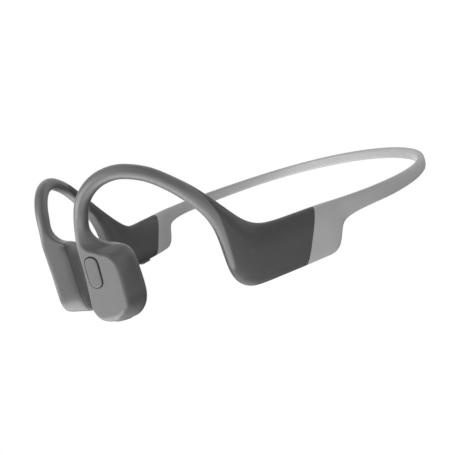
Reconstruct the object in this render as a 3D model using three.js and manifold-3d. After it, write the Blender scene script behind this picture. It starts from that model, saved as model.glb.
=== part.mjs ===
// Bone conduction headphones: two transducer pods, two ear hooks, two behind-the-ear boxes and a
// flexible neckband. Millimetres, +Z up. The wearer faces -Y, so the left side is +X.
// The headphones rest on the plane z = 0.
import * as THREE from "three";
import { mergeVertices } from "three/addons/utils/BufferGeometryUtils.js";
import Module from "manifold-3d";

const wasm = await Module();
wasm.setup();

// ---- Driving dimensions ----
// Arm coordinates: u runs along the plan curve, w outwards from it, z up from BASE_Z.
// side is 1 for the left arm and -1 for the right.
const BASE_Z = 19.4; // height of arm z = 0 above the resting plane
const MID_Y = 13.285; // plan y of the middle of the overall length
const BOX_BOTTOM = -18.2; // the boxes' flat undersides, in arm z
const GAP = 0.3; // clearance between parts
const WIRE_RADIUS = 0.65;
const CABLE_RADIUS = 0.45;
const WIRE_SHIFT = -0.95; // offsets across the hook, positive towards its hollow
const CABLE_SHIFT = 1.15;
const SKIN_POINTS = 18; // points round a skin section
const DEGREE = Math.PI / 180;

// Pod centre in plan, its turn in degrees, and its inner and outer faces
const POD = { x: 21.0, y: -61.6, turn: 38, outer: 5.55, inner: -6.6 };
const POD_FACE = POD.outer - 0.25; // flat outer face
const POD_SPLIT = -3.6; // where the housing meets the contact cover
const PLAN_OFFSET = 1.5; // from the pod frame's origin out to the plan curve
const POD_LO = POD.inner - PLAN_OFFSET;
const POD_HI = POD.outer - PLAN_OFFSET;

// ---- Plan curve ----
// [x, y] of the left arm from the pod's front, round the back and past the middle
const PLAN_POINTS = [
  [12.4, -70.2], [14.8, -68.3], [18.35, -65.55], [21.9, -62.8], [25.2, -60.2], [31.3, -54.4],
  [37.7, -47.6], [42.4, -41.5], [46.3, -36.0], [49.3, -31.0], [51.5, -25.5], [54.5, -16.5],
  [57.1, -7.5], [59.4, 0.5], [62.1, 7.5], [64.9, 15.0], [67.4, 26.0], [67.3, 39.6],
  [64.4, 53.3], [58.9, 65.5], [50.4, 76.4], [39.4, 85.0], [27, 91.1], [13.7, 94.7],
  [0, 95.9], [-13.7, 94.7], [-27, 91.1], [-39.4, 85.0],
];
const smoothCurve = (points) => new THREE.CatmullRomCurve3(points, false, "centripetal");
const plan = smoothCurve(PLAN_POINTS.map(([x, y]) => new THREE.Vector3(x, y, 0)));
plan.arcLengthDivisions = 1600;
const SAMPLE_COUNT = 1200;
const SAMPLES = plan.getSpacedPoints(SAMPLE_COUNT);
const LENGTH = plan.getLength();
const SAMPLE_STEP = LENGTH / SAMPLE_COUNT;

// Arc length at which the arm reaches a given y
function uAtY(y) {
  for (let i = 1; i < SAMPLES.length; i++) {
    if (SAMPLES[i].y < y) continue;
    const before = SAMPLES[i - 1];
    return (i - 1 + (y - before.y) / (SAMPLES[i].y - before.y)) * SAMPLE_STEP;
  }
  return LENGTH;
}

// Arc length at which the rear half of the curve comes in to a given x
function uAtX(x) {
  for (let i = SAMPLE_COUNT / 2; i < SAMPLES.length; i++) {
    if (SAMPLES[i].x <= x) return i * SAMPLE_STEP;
  }
  return LENGTH;
}

function planAt(u) {
  const fraction = Math.min(Math.max(u / LENGTH, 0), 1);
  return { point: plan.getPointAt(fraction), tangent: plan.getTangentAt(fraction) };
}

// World point of arm coordinates
function place(u, w, z, side) {
  const { point, tangent } = planAt(u);
  const x = point.x + tangent.y * w;
  const y = point.y - tangent.x * w;
  return new THREE.Vector3(side * x, y - MID_Y, z + BASE_Z);
}

// ---- Skin stations ----
// The skin runs from the pod's foot over the hook to the neckband. Each section spans two edges.
// The crest runs up the pod's front, over the hook and along the box's top. The under edge runs
// up the pod's rear, through the hook's hollow and along the box's underside.
const U_POD = uAtY(-62.8);

// Crest u and z, under u and z (u from U_POD), inner and outer limits, sharpness of the edges,
// slope of z across the thickness, u where the outer face ends, degrees the wall turns there
const POD_STATIONS = [
  [-4.4, -18.25, -1.0, -18.25, -7.0, 1.5, 1, 0.26, -3, 48],
  [-6.3, -17.7, 1.9, -17.7, -7.7, 2.5, 1, 0.23, -2.6, 50],
  [-8.3, -16.3, 4.9, -16.3, -8.0, 3.4, 1, 0.16, -1.2, 52],
  [-9.6, -14, 7.6, -14, POD_LO, 3.95, 1, 0.09, 1.3, 56],
  [-10.62, -11, 9.2, -11, POD_LO, POD_HI, 1, 0.03, 3.6, 60],
  [-10.2, -7, 9.75, -7, POD_LO, POD_HI, 1, 0, 4.1, 60],
  [-9.4, -2, 9.75, -2, POD_LO, POD_HI, 1, 0, 4.5, 60],
  [-8.85, 2.2, 9.55, 2.2, POD_LO, POD_HI, 1, 0, 4.7, 58],
  [-8.55, 5.2, 9.15, 5.2, POD_LO, POD_HI, 1, 0, 4.1, 55],
  [-8.35, 7.4, 8.1, 7.4, -7.7, POD_HI, 1, 0, 2.2, 51],
  [-8.2, 9.4, 5.9, 9.0, -6.9, 4.0, 1, 0, -1.4, 46],
  [-8.05, 11.1, 2.7, 9.95, -5.2, 3.95, 0.8, 0, -4.3, 42],
  [-7.9, 12.8, 0.0, 11.4, -3.2, 3.9, 0.5, 0, -5.2, 42],
  [-7.75, 15.0, -1.65, 14.3, -1.6, 3.7, 0.2, 0, -4.9, 42],
  [-7.35, 18.0, -2.0, 18.0, -1.15, 3.6, 0, 0, -3.7, 42],
];
// Plan y, z, radius, w
const TUBE_STATIONS = [
  [-64.95, 22.2, 2.58, 0.95], [-63.95, 26.2, 2.58, 0.7], [-62.05, 30.05, 2.6, 0.3],
  [-58.6, 33.15, 2.6, 0], [-54.2, 33.95, 2.6, 0], [-50.6, 32.9, 2.6, 0],
  [-46.4, 30.4, 2.6, 0], [-43.0, 27.2, 2.62, 0], [-39.3, 22.9, 2.7, 0],
];
// Crest y and z, under y and z, half thickness, power of the rounding, inward lean of the top,
// outward shift (0 where left out)
const BOX_STATIONS = [
  [-33.9, 20.0, -38.4, 17.4, 2.85, 2.3, 0], [-30.8, 15.5, -35.8, 13.1, 3.15, 2.6, 0.5],
  [-27.8, 11.3, -34.1, 9.0, 3.45, 2.9, 1.3], [-24.9, 7.3, -33.1, 4.3, 3.7, 3.1, 2.1],
  [-22.0, 4.1, -32.7, -1.6, 3.85, 3.4, 2.6], [-18.8, 1.95, -32.6, -8.2, 3.95, 3.6, 2.4],
  [-15.8, 1.1, -31.8, -13.6, 4.0, 3.8, 1.7], [-13.2, 0.85, -29.0, -17.2, 4.0, 4, 1.1],
  [-10.6, 0.75, -24.6, -18.45, 4.0, 4, 0.7], [-7.0, 0.7, -18.6, -18.45, 4.0, 4, 0.4],
  [-2.7, 0.65, -12.6, -18.45, 4.0, 4, 0.2],
  [2.0, 0.6, -7.0, -18.45, 4.0, 4, 0], // box seam
  [4.6, 0.6, -3.0, -18.45, 3.85, 4, 0], [6.7, 0.55, 0.9, -18.4, 3.4, 4, 0, 0.25],
  [8.5, 0.5, 4.4, -18.1, 2.8, 4, 0, 0.4], [10.0, 0.45, 6.9, -16.5, 2.35, 4, 0, 0.45],
  [11.4, 0.4, 8.5, -13.3, 2.05, 3.8, 0, 0.45], [12.8, 0.35, 9.7, -10.2, 1.9, 3.6, 0, 0.35],
  [14.5, 0.25, 11.6, -7.9, 1.8, 3.4, 0, 0.25], [17, 0.15, 15.4, -6.8, 1.7, 3.2, 0, 0.15],
  [20.5, 0.0, 20.0, -6.4, 1.6, 3.2, 0], [27, -0.2, 27, -6.2, 1.55, 3.2, 0],
];
// Station numbers where the parts meet
const POD_TOP = 13;
const HOOK_END = 26;
const SEAM = 35;

// ---- Sections ----
// Radius at an angle (0 towards the under edge, 90 degrees outwards) of the shape bounded by
// half-planes [normal x, normal y, distance], smoothed with a power
function smoothRadius(planes, power, angle) {
  let sum = 0;
  for (const [x, y, distance] of planes) {
    const reach = (x * Math.cos(angle) + y * Math.sin(angle)) / distance;
    if (reach > 0) sum += reach ** power;
  }
  return sum ** (-1 / power);
}
const ovalPlanes = (a, b) => [[1, 0, a], [-1, 0, a], [0, 1, b], [0, -1, b]];

// Middle, half width and unit direction from the crest to the under edge
function span(crestU, crestZ, underU, underZ) {
  const half = Math.hypot(underU - crestU, underZ - crestZ) / 2;
  return {
    u: (crestU + underU) / 2,
    z: (crestZ + underZ) / 2,
    half,
    du: (underU - crestU) / (2 * half),
    dz: (underZ - crestZ) / (2 * half),
  };
}

function podSection([crest, crestZ, under, underZ, lo, hi, sharp, lean, crease, turn]) {
  const middle = span(U_POD + crest, crestZ, U_POD + under, underZ);
  const { half } = middle;
  const thick = (hi - lo) / 2;
  const cos = Math.cos(turn * DEGREE);
  const sin = Math.sin(turn * DEGREE);
  const bevel = (distance) => distance * sharp + 60 * (1 - sharp); // moves away as sharp falls
  const planes = [
    [1, 0, half], [-1, 0, half * 0.985], [0, 1, thick], [0, -1, thick],
    [sin, cos, sin * (crease - (crest + under) / 2) + cos * thick], // wall beyond the outer face
    [0.62, -0.78, bevel(0.62 * half * 0.9 + 0.78 * thick * 0.62)], // inner edge bevels
    [-0.7, -0.71, bevel(0.7 * half * 0.97 + 0.71 * thick * 0.55)],
  ];
  const power = 2.3 + 8 * sharp;
  const radiusAt = (angle) => smoothRadius(planes, power, angle);
  return { ...middle, w: (hi + lo) / 2, skew: 0, lean, radiusAt };
}

function tubeSection([y, z, radius, w]) {
  return { u: uAtY(y), z, w, half: radius, skew: 0, lean: 0, radiusAt: () => radius };
}

function boxSection([crestY, crestZ, underY, underZ, thick, power, skew, w = 0]) {
  const middle = span(uAtY(crestY), crestZ, uAtY(underY), underZ);
  const planes = ovalPlanes(middle.half, thick);
  const topPower = Math.min(power, 2.7); // rounder along the top
  const radiusAt = (angle) =>
    smoothRadius(planes, Math.cos(angle) < 0 ? topPower : power, angle);
  return { ...middle, w, skew, lean: 0, radiusAt };
}

const SECTIONS = [
  ...POD_STATIONS.map(podSection),
  ...TUBE_STATIONS.map(tubeSection),
  ...BOX_STATIONS.map(boxSection),
];
// A tube section stands square to the line between its neighbours
for (let i = 0; i < TUBE_STATIONS.length; i++) {
  const k = POD_STATIONS.length + i;
  const runU = SECTIONS[k + 1].u - SECTIONS[k - 1].u;
  const runZ = SECTIONS[k + 1].z - SECTIONS[k - 1].z;
  const run = Math.hypot(runU, runZ);
  SECTIONS[k].du = runZ / run;
  SECTIONS[k].dz = -runU / run;
}

const catmullRom = (a, b, c, d, t) =>
  0.5 * (2 * b + (c - a) * t + (2 * a - 5 * b + 4 * c - d) * t * t
    + (3 * b - a - 3 * c + d) * t * t * t);

// At fractional station t, a function that blends whatever value it is told to pick
function blendAt(t) {
  const i = Math.min(Math.floor(t), SECTIONS.length - 2);
  const near = [-1, 0, 1, 2].map((k) =>
    SECTIONS[Math.min(Math.max(i + k, 0), SECTIONS.length - 1)]);
  return (pick) => catmullRom(...near.map(pick), t - i);
}

function skinRing(t, side, inset, count) {
  const blend = blendAt(t);
  const [u, z, w, half, skew, lean, rawU, rawZ] =
    ["u", "z", "w", "half", "skew", "lean", "du", "dz"].map((key) => blend((s) => s[key]));
  const size = Math.hypot(rawU, rawZ);
  const ring = [];
  for (let q = 0; q < count; q++) {
    const angle = (2 * Math.PI * q) / count;
    const radius = blend((s) => Math.max(s.radiusAt(angle) - inset, 0.25));
    const across = Math.cos(angle) * radius;
    const out = Math.sin(angle) * radius;
    const topLean = skew * Math.max(-across / half, 0) ** 2;
    const up = z + (rawZ / size) * across + lean * out;
    ring.push(place(u + (rawU / size) * across, w + out - topLean, up, side));
  }
  return ring;
}

// Solid skin between two fractional stations
function skin(from, to, steps, side, { inset = 0, count = SKIN_POINTS } = {}) {
  const rings = [];
  for (let j = 0; j <= steps; j++) {
    rings.push(skinRing(from + ((to - from) * j) / steps, side, inset, count));
  }
  return loft(rings);
}

// Points [u, w, z] along the middle of the skin, shifted across it
function skinLine(from, to, steps, shift) {
  const points = [];
  for (let j = 0; j <= steps; j++) {
    const blend = blendAt(from + ((to - from) * j) / steps);
    const [u, w, z, du, dz] = ["u", "w", "z", "du", "dz"].map((key) => blend((s) => s[key]));
    points.push([u + du * shift, w, z + dz * shift]);
  }
  return points;
}

// ---- Solids ----
function solid(geometry, matrix) {
  const flat = geometry.index ? geometry.toNonIndexed() : geometry;
  const bare = new THREE.BufferGeometry();
  bare.setAttribute("position", flat.getAttribute("position"));
  if (matrix) bare.applyMatrix4(matrix);
  const merged = mergeVertices(bare, 1e-4);
  const triVerts = new Uint32Array(merged.index.array);
  const vertProperties = merged.attributes.position.array;
  const make = () => new wasm.Manifold(new wasm.Mesh({ numProp: 3, vertProperties, triVerts }));
  const made = make();
  if (made.volume() >= 0) return made;
  for (let i = 0; i < triVerts.length; i += 3) { // turn an inside-out solid right side out
    [triVerts[i + 1], triVerts[i + 2]] = [triVerts[i + 2], triVerts[i + 1]];
  }
  return make();
}

function geometryOf(body) {
  const mesh = body.getMesh();
  const { numProp, numVert, vertProperties } = mesh;
  const positions = new Float32Array(numVert * 3);
  for (let i = 0; i < numVert; i++) {
    positions.set(vertProperties.subarray(i * numProp, i * numProp + 3), i * 3);
  }
  const geometry = new THREE.BufferGeometry();
  geometry.setAttribute("position", new THREE.BufferAttribute(positions, 3));
  geometry.setIndex(new THREE.BufferAttribute(mesh.triVerts, 1));
  geometry.computeVertexNormals();
  return geometry;
}

// A closed solid through rings of equal point count
function loft(rings) {
  const count = rings[0].length;
  const positions = rings.flat().flatMap((p) => [p.x, p.y, p.z]);
  const indices = [];
  const addCentre = (ring) => {
    const centre = ring.reduce((sum, p) => sum.add(p), new THREE.Vector3());
    centre.divideScalar(count);
    positions.push(centre.x, centre.y, centre.z);
    return positions.length / 3 - 1;
  };
  for (let k = 0; k < rings.length - 1; k++) {
    for (let q = 0; q < count; q++) {
      const a = k * count + q;
      const b = k * count + ((q + 1) % count);
      indices.push(a, a + count, b, b, a + count, b + count);
    }
  }
  const first = addCentre(rings[0]);
  const last = addCentre(rings.at(-1));
  const start = (rings.length - 1) * count;
  for (let q = 0; q < count; q++) {
    const next = (q + 1) % count;
    indices.push(first, q, next, last, start + next, start + q);
  }
  const geometry = new THREE.BufferGeometry();
  geometry.setAttribute("position", new THREE.Float32BufferAttribute(positions, 3));
  return solid(geometry.setIndex(indices));
}

const shift = (x, y, z) => new THREE.Matrix4().makeTranslation(x, y, z);
const chain = (...matrices) => matrices.reduce((a, b) => a.multiply(b), new THREE.Matrix4());
const quarterTurn = new THREE.Matrix4().makeRotationX(Math.PI / 2); // takes Y to Z, Z to -Y

// A rounded rectangle about (x, y) in a frame, extruded along its Z from z
function slab(frame, [x, y, z], [width, height, depth], corner = 0.5, turn = 0) {
  const r = Math.min(corner, width / 2 - 1e-3, height / 2 - 1e-3);
  const right = width / 2;
  const top = height / 2;
  const shape = new THREE.Shape();
  shape.moveTo(-right + r, -top);
  shape.lineTo(right - r, -top);
  shape.absarc(right - r, -top + r, r, -Math.PI / 2, 0);
  shape.lineTo(right, top - r);
  shape.absarc(right - r, top - r, r, 0, Math.PI / 2);
  shape.lineTo(-right + r, top);
  shape.absarc(-right + r, top - r, r, Math.PI / 2, Math.PI);
  shape.lineTo(-right, -top + r);
  shape.absarc(-right + r, -top + r, r, Math.PI, Math.PI * 1.5);
  const curveSegments = r > 1.2 ? 7 : 2;
  const geometry = new THREE.ExtrudeGeometry(shape, { depth, bevelEnabled: false, curveSegments });
  const turned = new THREE.Matrix4().makeRotationZ(turn * DEGREE);
  return solid(geometry, chain(frame, shift(x, y, z), turned));
}

// A disc or ring about a frame's Z, from z up
function disc(frame, [x, y, z], radius, depth, { hole = 0, segments = 20 } = {}) {
  const shape = new THREE.Shape().absarc(0, 0, radius, 0, 2 * Math.PI);
  if (hole) shape.holes.push(new THREE.Path().absarc(0, 0, hole, 0, 2 * Math.PI, true));
  const options = { depth, bevelEnabled: false, curveSegments: segments / 2 };
  return solid(new THREE.ExtrudeGeometry(shape, options), chain(frame, shift(x, y, z)));
}

// A cup with its mouth towards a frame's -Z
function cup(frame, [x, y, z], { radius, inner, height, floor }) {
  const ceiling = height - floor;
  const profile = [
    [0, height], [radius, height], [radius, 0], [inner, 0], [inner, ceiling], [0, ceiling],
  ].map(([a, b]) => new THREE.Vector2(a, b));
  return solid(new THREE.LatheGeometry(profile, 24), chain(frame, shift(x, y, z), quarterTurn));
}

// A round rod through points [u, w, z]
function rod(points, radius, side, around = 8) {
  const extrudePath = smoothCurve(points.map(([u, w, z]) => place(u, w, z, side)));
  const shape = new THREE.Shape().absarc(0, 0, radius, 0, 2 * Math.PI);
  const steps = points.length * 2;
  const options = { steps, curveSegments: around / 2, extrudePath, bevelEnabled: false };
  return solid(new THREE.ExtrudeGeometry(shape, options));
}

// Blocks that stand for everything above or below z in a frame
const above = (frame, z) => slab(frame, [0, 0, z], [240, 240, 60], 0.01);
const below = (frame, z) => above(frame, z - 60);
const aboveBoxBottom = slab(
  new THREE.Matrix4(), [0, 0, BASE_Z + BOX_BOTTOM], [400, 400, 80], 0.01);

// ---- Frames ----
// X backwards along the pod's width, Y up, Z outwards
function podMatrix(side) {
  const cos = Math.cos(POD.turn * DEGREE);
  const sin = Math.sin(POD.turn * DEGREE);
  const along = new THREE.Vector3(side * cos, sin, 0);
  const up = new THREE.Vector3(0, 0, 1);
  const out = new THREE.Vector3(side * sin, -cos, 0);
  const matrix = new THREE.Matrix4().makeBasis(along, up, out);
  return matrix.setPosition(side * POD.x, POD.y - MID_Y, BASE_Z);
}

// X backwards along the box, Y up, Z outwards
function boxMatrix(side) {
  const [front, middle, rear] = [-30, -17, -4].map((y) => planAt(uAtY(y)).point);
  const along = new THREE.Vector3(side * (rear.x - front.x), rear.y - front.y, 0).normalize();
  const up = new THREE.Vector3(0, 0, 1);
  const out = new THREE.Vector3(side * along.y, -side * along.x, 0);
  const matrix = new THREE.Matrix4().makeBasis(along, up, out);
  return matrix.setPosition(side * (middle.x - 0.1), middle.y - MID_Y, BASE_Z);
}

// ---- Materials ----
const standard = (options) => new THREE.MeshStandardMaterial(options);
const MATERIALS = {
  dark: standard({ color: 0x5a5a5b, roughness: 0.55 }),
  light: standard({ color: 0x9b9b9c, roughness: 0.6 }),
  key: standard({ color: 0x8a8a8b, roughness: 0.45 }),
  pad: standard({ color: 0x6a6a6b, roughness: 0.6 }),
  titanium: standard({ color: 0xa8a49c, roughness: 0.35, metalness: 1 }),
  steel: standard({ color: 0x8d9094, roughness: 0.3, metalness: 1 }),
  magnet: standard({ color: 0x6f7276, roughness: 0.3, metalness: 1 }),
  copper: standard({ color: 0xb4663a, roughness: 0.35, metalness: 1 }),
  board: standard({ color: 0x1d4a32, roughness: 0.5 }),
  cell: standard({ color: 0x9ea2a6, roughness: 0.4, metalness: 0.6 }),
  gold: standard({ color: 0xc9a24a, roughness: 0.3, metalness: 1 }),
  rubber: standard({ color: 0x303031, roughness: 0.8 }),
  cable: standard({ color: 0x2a2a2b, roughness: 0.6 }),
  lens: standard({ color: 0xd8dcdc, roughness: 0.25 }),
  foam: standard({ color: 0x3c3c3e, roughness: 0.9 }),
};

function add(parent, name, body, material) {
  const mesh = new THREE.Mesh(geometryOf(body), MATERIALS[material]);
  mesh.name = name;
  parent.add(mesh);
}

// ---- Neckband: a flat strip round a wire, with a knuckle on each side ----
const BAND_HALF = 1.5; // half thickness
const BAND_START_Y = 27;
const U_BAND = uAtY(BAND_START_Y);
const U_HINGE = uAtX(32.0);
const U_BACK = uAtX(0);

// Half height, falling from 3.15 to 2.53
const bandHalfHeight = (u) => 3.15 - 0.62 * Math.sin((Math.PI / 2) * Math.min((u - U_BAND) / 55, 1));
function bandMid(u) {
  const back = Math.min(Math.max((planAt(u).point.y - BAND_START_Y) / 69, 0), 1);
  return -0.15 - 0.85 * Math.sin(Math.PI * back) - bandHalfHeight(u);
}
const HINGE_MID = bandMid(U_HINGE);

function band(from, to, steps, side) {
  const count = 14;
  const rings = [];
  for (let j = 0; j <= steps; j++) {
    const u = from + ((to - from) * j) / steps;
    const planes = ovalPlanes(bandHalfHeight(u), BAND_HALF);
    const ring = [];
    for (let q = 0; q < count; q++) {
      const angle = (2 * Math.PI * q) / count;
      const radius = smoothRadius(planes, 3.2, angle);
      ring.push(place(u, Math.sin(angle) * radius, bandMid(u) - Math.cos(angle) * radius, side));
    }
    rings.push(ring);
  }
  return loft(rings);
}

function knuckle(side, radius, height) {
  const { x, y, z } = place(U_HINGE, 0, HINGE_MID, side);
  const cylinder = new THREE.CylinderGeometry(radius, radius, height, 24);
  return solid(cylinder, chain(shift(x, y, z), quarterTurn));
}

// The wire's line through one side, [u, w, z], without its two ends
const SIDE_WIRE = [[0, -6], [5, -4.4], [10, -3.6], [18, -3.1], [BAND_START_Y, -3.1]]
  .map(([y, z]) => [uAtY(y), 0, z]);
for (let k = 1; k <= 5; k++) {
  const u = U_BAND + ((U_HINGE - U_BAND) * k) / 6;
  SIDE_WIRE.push([u, 0, bandMid(u)]);
}
const sideWire = (startY, startZ, endU) =>
  [[uAtY(startY), 0, startZ], ...SIDE_WIRE, [endU, 0, HINGE_MID]];

function addNeckbandCentre(root) {
  const farHinge = 2 * U_BACK - U_HINGE;
  const channel = [];
  for (let k = 0; k <= 8; k++) {
    const u = U_HINGE + ((farHinge - U_HINGE) * k) / 8;
    channel.push([u, 0, bandMid(u <= U_BACK ? u : 2 * U_BACK - u)]);
  }
  const inset = 3.4; // the wire stops short of both hinges
  const wire = [
    [U_HINGE + inset, 0, HINGE_MID], ...channel.slice(2, -2), [farHinge - inset, 0, HINGE_MID],
  ];
  const half = (side) => band(U_HINGE, U_BACK + 0.02, 5, side); // the halves overlap slightly
  let sleeve = half(1).add(half(-1)).subtract(rod(channel, WIRE_RADIUS + GAP, 1));
  for (const side of [1, -1]) sleeve = sleeve.subtract(knuckle(side, 2.1, 16));
  add(root, "neckband_sleeve_centre", sleeve, "light");
  add(root, "neckband_wire_centre", rod(wire, WIRE_RADIUS, 1), "titanium");
}

// Tail of the box and strip in one, with a spigot that plugs into the box
function addNeckbandSide(arm, name, side) {
  const tail = skin(SEAM + 0.12, SECTIONS.length - 1, 18, side).intersect(aboveBoxBottom);
  const spigot = skin(SEAM - 0.32, SEAM + 0.5, 2, side, { inset: 1.35 });
  const sleeve = tail.add(band(U_BAND - 0.3, U_HINGE, 13, side))
    .add(knuckle(side, 1.72, 4.2))
    .add(spigot)
    .intersect(aboveBoxBottom)
    .subtract(rod(sideWire(-6, -6.5, U_HINGE + 0.2), WIRE_RADIUS + GAP, side));
  add(arm, name + "_neckband_sleeve", sleeve, "light");
  const wire = rod(sideWire(-3, -6.3, U_HINGE - 0.4), WIRE_RADIUS, side);
  add(arm, name + "_neckband_wire", wire, "titanium");
}

// ---- Hook ----
// Cuts the bores for the hook's wire and cable
function boreHook(body, from, to, steps, side) {
  const bore = (offset, radius) => rod(skinLine(from, to, steps, offset), radius + GAP, side);
  return body.subtract(bore(WIRE_SHIFT, WIRE_RADIUS)).subtract(bore(CABLE_SHIFT, CABLE_RADIUS));
}

function addHook(arm, name, side) {
  const body = skin(POD_TOP + 0.06, HOOK_END - 0.06, 22, side, { count: 14 });
  const sleeve = boreHook(body, POD_TOP - 0.4, HOOK_END + 0.4, 13, side);
  const line = (offset) => skinLine(POD_TOP - 0.2, HOOK_END + 0.25, 13, offset);
  add(arm, name + "_hook_sleeve", sleeve, "dark");
  add(arm, name + "_hook_wire", rod(line(WIRE_SHIFT), WIRE_RADIUS, side), "titanium");
  add(arm, name + "_hook_cable", rod(line(CABLE_SHIFT), CABLE_RADIUS, side, 6), "cable");
}

// ---- Pod ----
const DRIVER = [-0.3, -5.2]; // transducer axis in the pod frame
// Cavity outline [x, y] in the pod frame
const CAVITY = [
  [-7.1, -10.5], [-6.2, -13.6], [-4.6, -15.2], [-1.5, -15.4], [1.4, -14.2], [3.6, -12.0],
  [5.2, -9.5], [5.9, -6], [5.9, 1.6], [4.9, 5.0], [2.4, 7.6], [-0.5, 8.6],
  [-5.2, 8.6], [-7.0, 7.2], [-7.2, 2], [-7.2, -5],
];
// Pod z, widening of the rear side (x above 2), scale
const CAVITY_LEVELS = [[-3.9, 1.28, 0.99], [-3.0, 1.28, 0.99], [1.2, 1.08, 0.98], [3.9, 0.72, 0.95]];

function podCavity(frame) {
  return loft(CAVITY_LEVELS.map(([z, widen, scale]) => CAVITY.map(([x, y]) => {
    const wide = x > 2 ? x * widen : x;
    return new THREE.Vector3(wide * scale, y * scale, z).applyMatrix4(frame);
  })));
}

// Multifunction button in the outer face, over a switch on a small board
const BUTTON = { x: -4.55, y: 2.75, width: 4.8, height: 11.2, tilt: -5, bottom: 3.6, proud: 0.3 };
const BUTTON_CORNER = 9; // more than half the width, so the ends are round

function cutButton(housing, frame) {
  const { x, y, width, height, tilt } = BUTTON;
  const size = [width + 2 * GAP, height + 2 * GAP, 8];
  return housing.subtract(slab(frame, [x, y, 2], size, BUTTON_CORNER, tilt));
}

function addButton(arm, frame) {
  const { x, y, width, height, tilt, bottom, proud } = BUTTON;
  const size = [width, height, POD_FACE + proud - bottom];
  const cap = slab(frame, [x, y, bottom], size, BUTTON_CORNER, tilt);
  const actuator = disc(frame, [x, y, 3.0], 1.1, 0.35, { segments: 12 })
    .add(slab(frame, [x, y, 2.95], [3.6, 7.6, 0.35], 1, tilt));
  const board = slab(frame, [x + 0.3, y - 0.3, 1.25], [4.6, 9.2, 0.4]);
  add(arm, "multifunction_button", cap, "key");
  add(arm, "button_actuator", actuator, "rubber");
  add(arm, "button_switch_board", board, "board");
  add(arm, "button_tact_switch", slab(frame, [x, y, 1.8], [3.2, 4.0, 0.72], 0.4), "steel");
}

// Transducer: a stack of parts about one axis
function addDriver(arm, name, frame) {
  const part = (label, body, material) => add(arm, `${name}_driver_${label}`, body, material);
  const ring = (z, ...rest) => disc(frame, [...DRIVER, z], ...rest);
  const yoke = { radius: 6.1, inner: 5.3, height: 4.3, floor: 1.0 };
  part("spring_plate", ring(-4.55, 6.5, 0.3, { hole: 1.2 }), "steel");
  part("voice_coil", ring(-3.95, 5.0, 2.3, { hole: 4.4 }), "copper");
  part("yoke", cup(frame, [...DRIVER, -3.3], yoke), "steel");
  part("magnet", ring(-2.05, 4.0, 1.75), "magnet");
  part("top_plate", ring(-3.1, 4.0, 0.8), "steel");
}

// Housing open towards the head, closed by the contact cover
function addPod(arm, name, side) {
  const frame = podMatrix(side);
  const body = skin(0, POD_TOP - 0.06, 18, side);
  let housing = body.intersect(above(frame, POD_SPLIT + GAP / 2))
    .subtract(podCavity(frame))
    .subtract(above(frame, POD_FACE));
  housing = boreHook(housing, POD_TOP - 2.6, POD_TOP + 0.5, 4, side);
  const cover = body.intersect(below(frame, POD_SPLIT - GAP / 2))
    .subtract(below(frame, -6.35)) // flat face towards the head
    .subtract(disc(frame, [...DRIVER, -4.9], 6.9, 1.6)); // recess for the spring plate
  if (side === 1) {
    housing = cutButton(housing, frame);
    addButton(arm, frame);
  }
  add(arm, name + "_pod_housing", housing, "dark");
  add(arm, name + "_pod_contact_cover", cover, "pad");
  addDriver(arm, name, frame);
}

// ---- Boxes ----
// Hollow shell, open at the seam, with the hook's wire and cable entering at the front
function boxShell(side) {
  const shell = skin(HOOK_END + 0.06, SEAM - 0.12, 12, side)
    .intersect(aboveBoxBottom)
    .subtract(skin(HOOK_END + 3.1, SEAM + 0.5, 8, side, { inset: 1.05 }));
  return boreHook(shell, HOOK_END - 0.5, HOOK_END + 4.2, 4, side);
}

function addBatteryBox(arm, side) {
  const frame = boxMatrix(side);
  const board = slab(frame, [-0.5, -3.4, -1.5], [10, 0.8, 2.4], 0.2);
  add(arm, "battery_cell", slab(frame, [-0.9, -9.5, -2.15], [15.4, 11.2, 4.2], 1.2), "cell");
  add(arm, "battery_foam", slab(frame, [-0.9, -9.5, 2.2], [12.4, 8.2, 0.35]), "foam");
  add(arm, "battery_protection_board", board, "board");
  add(arm, "left_box_shell", boxShell(side), "dark");
}

// A volume key with a flange inside the shell, over its switch
function addVolumeKey(arm, name, downFrame) {
  const key = slab(downFrame, [0, 0, -1.6], [6.4, 2.6, 2.8], 1.3)
    .add(slab(downFrame, [0.25, 0, -2.15], [6.8, 3.1, 0.8], 1.2));
  add(arm, name + "_key", key, "key");
  add(arm, name + "_switch", slab(downFrame, [0, 0, -3.75], [3.2, 2.8, 1.2], 0.3), "steel");
}

// Charging port on the head side, with two pins and a magnet
const PORT = [-7.6, -11.2];
function addCharging(arm, frame) {
  const [x, y] = PORT;
  const small = { segments: 12 };
  const pinXs = [x - 1.5, x + 1.5];
  let port = slab(frame, [x, y, -3.7], [6.0, 2.6, 1.4], 1.0)
    .add(slab(frame, [x, y, -2.7], [7.4, 3.8, 0.6], 0.6));
  for (const pinX of pinXs) port = port.subtract(disc(frame, [pinX, y, -5], 0.85, 4, small));
  add(arm, "charging_port", port, "rubber");
  pinXs.forEach((pinX, i) => {
    add(arm, "charging_pin_" + "ab"[i], disc(frame, [pinX, y, -3.6], 0.6, 2.2, small), "gold");
  });
  add(arm, "charging_magnet", slab(frame, [-2.2, y, -2.6], [2.2, 2.4, 1.6], 0.3), "magnet");
}

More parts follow.
